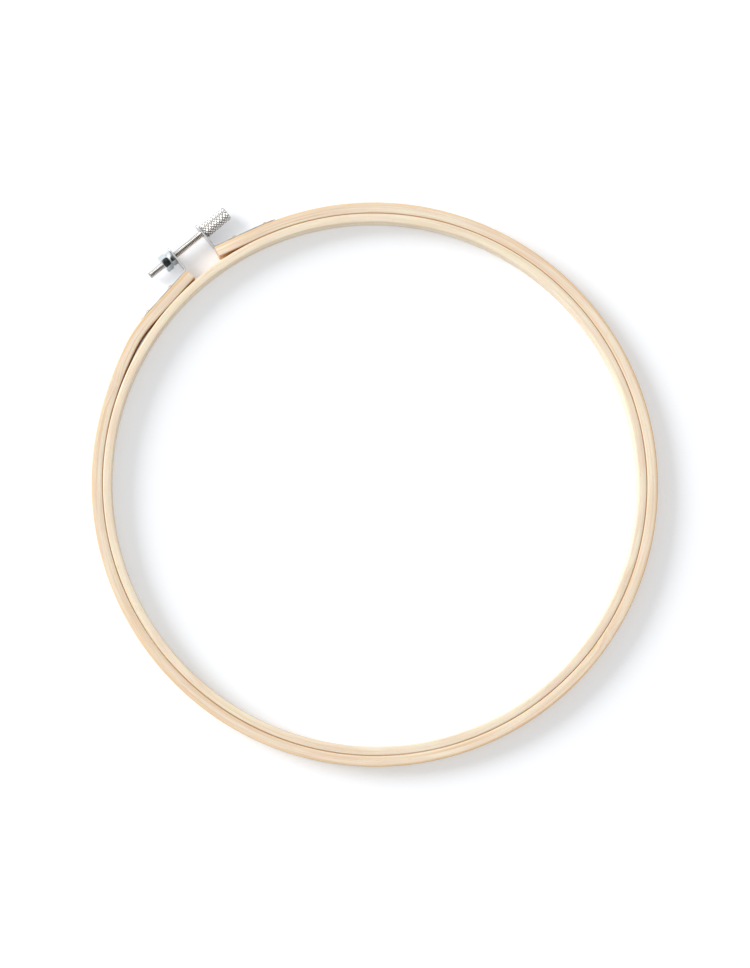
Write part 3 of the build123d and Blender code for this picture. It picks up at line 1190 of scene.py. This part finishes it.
class HOOP_OT_brackets(bpy.types.Operator):
    """Makes the two bent steel brackets"""

    bl_idname = "hoop.brackets"
    bl_label = "Brackets"

    def execute(self, context):
        scene = context.scene
        colours = scene.hoop_colours
        steel = metal_material("bracket_steel", colours.steel, colours, **STEEL_FINISH)
        for name, side in SIDES.items():
            bracket = make_bracket(scene.hoop_wood, scene.hoop_brackets, side)
            node = name + "_bracket"
            hand_over(bracket, node + "_strip", "outer_hoop", "bracket_steel", [steel], node)
        return {"FINISHED"}


class HOOP_OT_nails(bpy.types.Operator):
    """Makes the four clenched nails"""

    bl_idname = "hoop.nails"
    bl_label = "Nails"

    def execute(self, context):
        scene = context.scene
        colours = scene.hoop_colours
        brass = metal_material("nail_brass", colours.brass, colours, **BRASS_FINISH)
        for name, side in SIDES.items():
            for where, place in nail_places(scene.hoop_brackets).items():
                nail = make_nail(scene.hoop_wood, scene.hoop_brackets, side, place)
                node = f"{name}_{where}_nail"
                hand_over(nail, node + "_pin", "outer_hoop", "nail_brass", [brass], node)
        return {"FINISHED"}


class HOOP_OT_screw(bpy.types.Operator):
    """Makes the clamp screw with its thread and its knurled head"""

    bl_idname = "hoop.screw"
    bl_label = "Clamp screw"

    def execute(self, context):
        screw, colours = context.scene.hoop_screw, context.scene.hoop_colours
        for name, finish, make, crest, grime_and_shade in (
            ("clamp_screw_head", "screw_nickel", make_head, screw.head_radius, KNURL_GRIME_AND_SHADE),
            ("clamp_screw_shank", "thread_nickel", make_shank, screw.shank_radius, THREAD_GRIME_AND_SHADE),
        ):
            # Radii below which the head and the thread get grime and painted shade in their grooves
            worn = [crest - depth for depth in grime_and_shade]
            nickel = metal_material(finish, colours.nickel, colours, **NICKEL_FINISH, worn=worn)
            hand_over(make(screw), name, "screw", "screw_nickel", [nickel], "clamp_screw")
        return {"FINISHED"}


class HOOP_OT_nuts(bpy.types.Operator):
    """Makes the clamp nut and the lock nut"""

    bl_idname = "hoop.nuts"
    bl_label = "Nuts"

    def execute(self, context):
        screw, colours = context.scene.hoop_screw, context.scene.hoop_colours
        zinc = metal_material("nut_zinc", colours.zinc, colours, **ZINC_FINISH)
        for node, flats, turn in (
            ("clamp_nut", screw.clamp_flats, screw.clamp_turn),
            ("lock_nut", screw.lock_flats, screw.lock_turn),
        ):
            nut = make_nut(screw, node, flats, turn)
            hand_over(nut, node + "_hexagon", "nuts", "nut_zinc", [zinc], node)
        return {"FINISHED"}


# Stage: the camera hangs over the hoop, a little to one side, and the light comes from low down
CAMERA_DISTANCE = 1.13
CAMERA_TILT = radians(6)
CAMERA_TILT_TOWARDS = radians(205.5)
CAMERA_UP = radians(49.9)
CAMERA_LENS = 111.9
CAMERA_SENSOR = 36
LIGHT_FROM = radians(116)
LIGHT_HEIGHT = radians(30)
LIGHT_SPREAD = radians(30)
LIGHT_LEVEL = 2.6
FLOOR_SIZE = 6
FLOOR_DROP = 0.00003
FLOOR_COLOUR = (0.745, 0.768, 0.8)
FLOOR_IN_LIGHT = (0.92, 0.92, 0.92)
FLOOR_GLOW = 0.28
WHITE = (1, 1, 1, 1)
SKY_LEVEL = 0.6
SHINE_LEVEL = 1.45
SCREEN_LEVEL = 0.02
SCREEN_TILT = radians(30)
SCREEN_INSIDE = radians(33)
SCREEN_OUTSIDE = radians(43)


def seen_directly(maker):
    """1 where the camera, a reflection or a view through glass looks, and 0 for light."""
    path = maker.add("ShaderNodeLightPath").outputs
    seen = maker.math("MAXIMUM", path["Is Camera Ray"], path["Is Glossy Ray"])
    return maker.math("MAXIMUM", seen, path["Is Transmission Ray"])


def floor_material():
    """A white floor that keeps the hoop's shadow."""
    material, maker = new_material("floor_white")
    lit = maker.add("ShaderNodeBsdfDiffuse", {"Color": with_alpha(FLOOR_IN_LIGHT)})
    plain = maker.add("ShaderNodeBsdfDiffuse", {"Color": with_alpha(FLOOR_COLOUR)})
    glow = maker.add("ShaderNodeEmission", {"Strength": FLOOR_GLOW})
    shown = maker.add("ShaderNodeAddShader", {0: plain.outputs[0], 1: glow.outputs[0]})
    looks = {0: seen_directly(maker), 1: lit.outputs[0], 2: shown.outputs[0]}
    mixed = maker.add("ShaderNodeMixShader", looks)
    maker.add("ShaderNodeOutputMaterial", {"Surface": mixed.outputs[0]})
    return material


def light_sky(scene):
    """A pale sky, white where the camera sees it, with a dark screen that only shows in shine."""
    world = bpy.data.worlds.new("studio_sky")
    world.use_nodes = True
    maker = NodeMaker(world.node_tree)
    look = maker.add("ShaderNodeTexCoord").outputs["Generated"]
    middle = around(sin(SCREEN_TILT), LIGHT_FROM + pi, cos(SCREEN_TILT))
    towards = maker.add("ShaderNodeVectorMath", {0: look, 1: middle}, operation="DOT_PRODUCT")
    edge = (cos(SCREEN_OUTSIDE), cos(SCREEN_INSIDE))
    shine = maker.ramp(towards.outputs["Value"], *edge, SHINE_LEVEL, SCREEN_LEVEL)
    path = maker.add("ShaderNodeLightPath").outputs
    more = maker.math("SUBTRACT", shine, SKY_LEVEL)
    level = maker.math("MULTIPLY_ADD", path["Is Glossy Ray"], more, SKY_LEVEL)
    sky = maker.add("ShaderNodeBackground", {"Color": WHITE, "Strength": level})
    white = maker.add("ShaderNodeBackground", {"Color": WHITE, "Strength": 1.0})
    looks = {0: path["Is Camera Ray"], 1: sky.outputs[0], 2: white.outputs[0]}
    mixed = maker.add("ShaderNodeMixShader", looks)
    maker.add("ShaderNodeOutputWorld", {"Surface": mixed.outputs[0]})
    scene.world = world


def hang_lamp(scene):
    """Hangs the one lamp, low and soft."""
    light = bpy.data.lights.new("window_light", "SUN")
    light.energy = LIGHT_LEVEL
    light.angle = LIGHT_SPREAD
    lamp = bpy.data.objects.new("window_light", light)
    scene.collection.objects.link(lamp)
    towards = around(cos(LIGHT_HEIGHT), LIGHT_FROM, sin(LIGHT_HEIGHT))
    lamp.rotation_euler = towards.to_track_quat("Z", "Y").to_euler()


def hang_camera(scene):
    """Hangs the camera over the hoop, with the clamp screw towards the picture's upper left."""
    camera = bpy.data.cameras.new("camera")
    camera.lens = CAMERA_LENS
    camera.sensor_width = CAMERA_SENSOR
    holder = bpy.data.objects.new("camera", camera)
    scene.collection.objects.link(holder)
    back = around(sin(CAMERA_TILT), CAMERA_TILT_TOWARDS, cos(CAMERA_TILT))
    up = around(1, CAMERA_UP)
    right = up.cross(back).normalized()
    up = back.cross(right)
    turn = Matrix((right, up, back)).transposed().to_4x4()
    holder.matrix_world = Matrix.Translation(back * CAMERA_DISTANCE) @ turn
    scene.camera = holder


class HOOP_OT_stage(bpy.types.Operator):
    """Lays the floor, lights the hoop and hangs the camera"""

    bl_idname = "hoop.stage"
    bl_label = "Stage"

    def execute(self, context):
        scene = context.scene
        object_mode()
        bpy.ops.mesh.primitive_plane_add(size=FLOOR_SIZE, location=(0, 0, -FLOOR_DROP))
        floor = context.object
        settle(floor)
        floor.name = "floor"
        floor.data.materials.append(floor_material())
        light_sky(scene)
        hang_lamp(scene)
        hang_camera(scene)
        scene.view_settings.view_transform = "Standard"
        return {"FINISHED"}


PIECE_OPERATORS = (
    HOOP_OT_inner_ring,
    HOOP_OT_outer_ring,
    HOOP_OT_brackets,
    HOOP_OT_nails,
    HOOP_OT_screw,
    HOOP_OT_nuts,
    HOOP_OT_stage,
)


class HOOP_PT_panel(bpy.types.Panel):
    """Lists the hoop's pieces and its sizes"""

    bl_label = "Embroidery hoop"
    bl_idname = "HOOP_PT_panel"
    bl_space_type = "VIEW_3D"
    bl_region_type = "UI"
    bl_category = "Hoop"

    def draw(self, context):
        for operator in PIECE_OPERATORS:
            self.layout.operator(operator.bl_idname)
        for name in SCENE_PROPERTIES:
            box = self.layout.box()
            group = getattr(context.scene, name)
            for key in group.__annotations__:
                box.prop(group, key)


SCENE_PROPERTIES = {
    "hoop_wood": HoopWood,
    "hoop_brackets": HoopBrackets,
    "hoop_screw": HoopScrew,
    "hoop_colours": HoopColours,
}


def register():
    """Registers the classes and gives the scene its properties."""
    for group in SCENE_PROPERTIES.values():
        bpy.utils.register_class(group)
    for kind in (*PIECE_OPERATORS, HOOP_PT_panel):
        bpy.utils.register_class(kind)
    for name, group in SCENE_PROPERTIES.items():
        setattr(bpy.types.Scene, name, PointerProperty(type=group))


def unregister():
    """Takes the properties and the classes away again."""
    for name in SCENE_PROPERTIES:
        delattr(bpy.types.Scene, name)
    for kind in (HOOP_PT_panel, *reversed(PIECE_OPERATORS), *SCENE_PROPERTIES.values()):
        bpy.utils.unregister_class(kind)


def main():
    """Makes the pieces and their stage in order."""
    register()
    bpy.ops.hoop.inner_ring()
    bpy.ops.hoop.outer_ring()
    bpy.ops.hoop.brackets()
    bpy.ops.hoop.nails()
    bpy.ops.hoop.screw()
    bpy.ops.hoop.nuts()
    bpy.ops.hoop.stage()
    object_mode()
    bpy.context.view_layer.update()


if __name__ == "__main__":
    main()
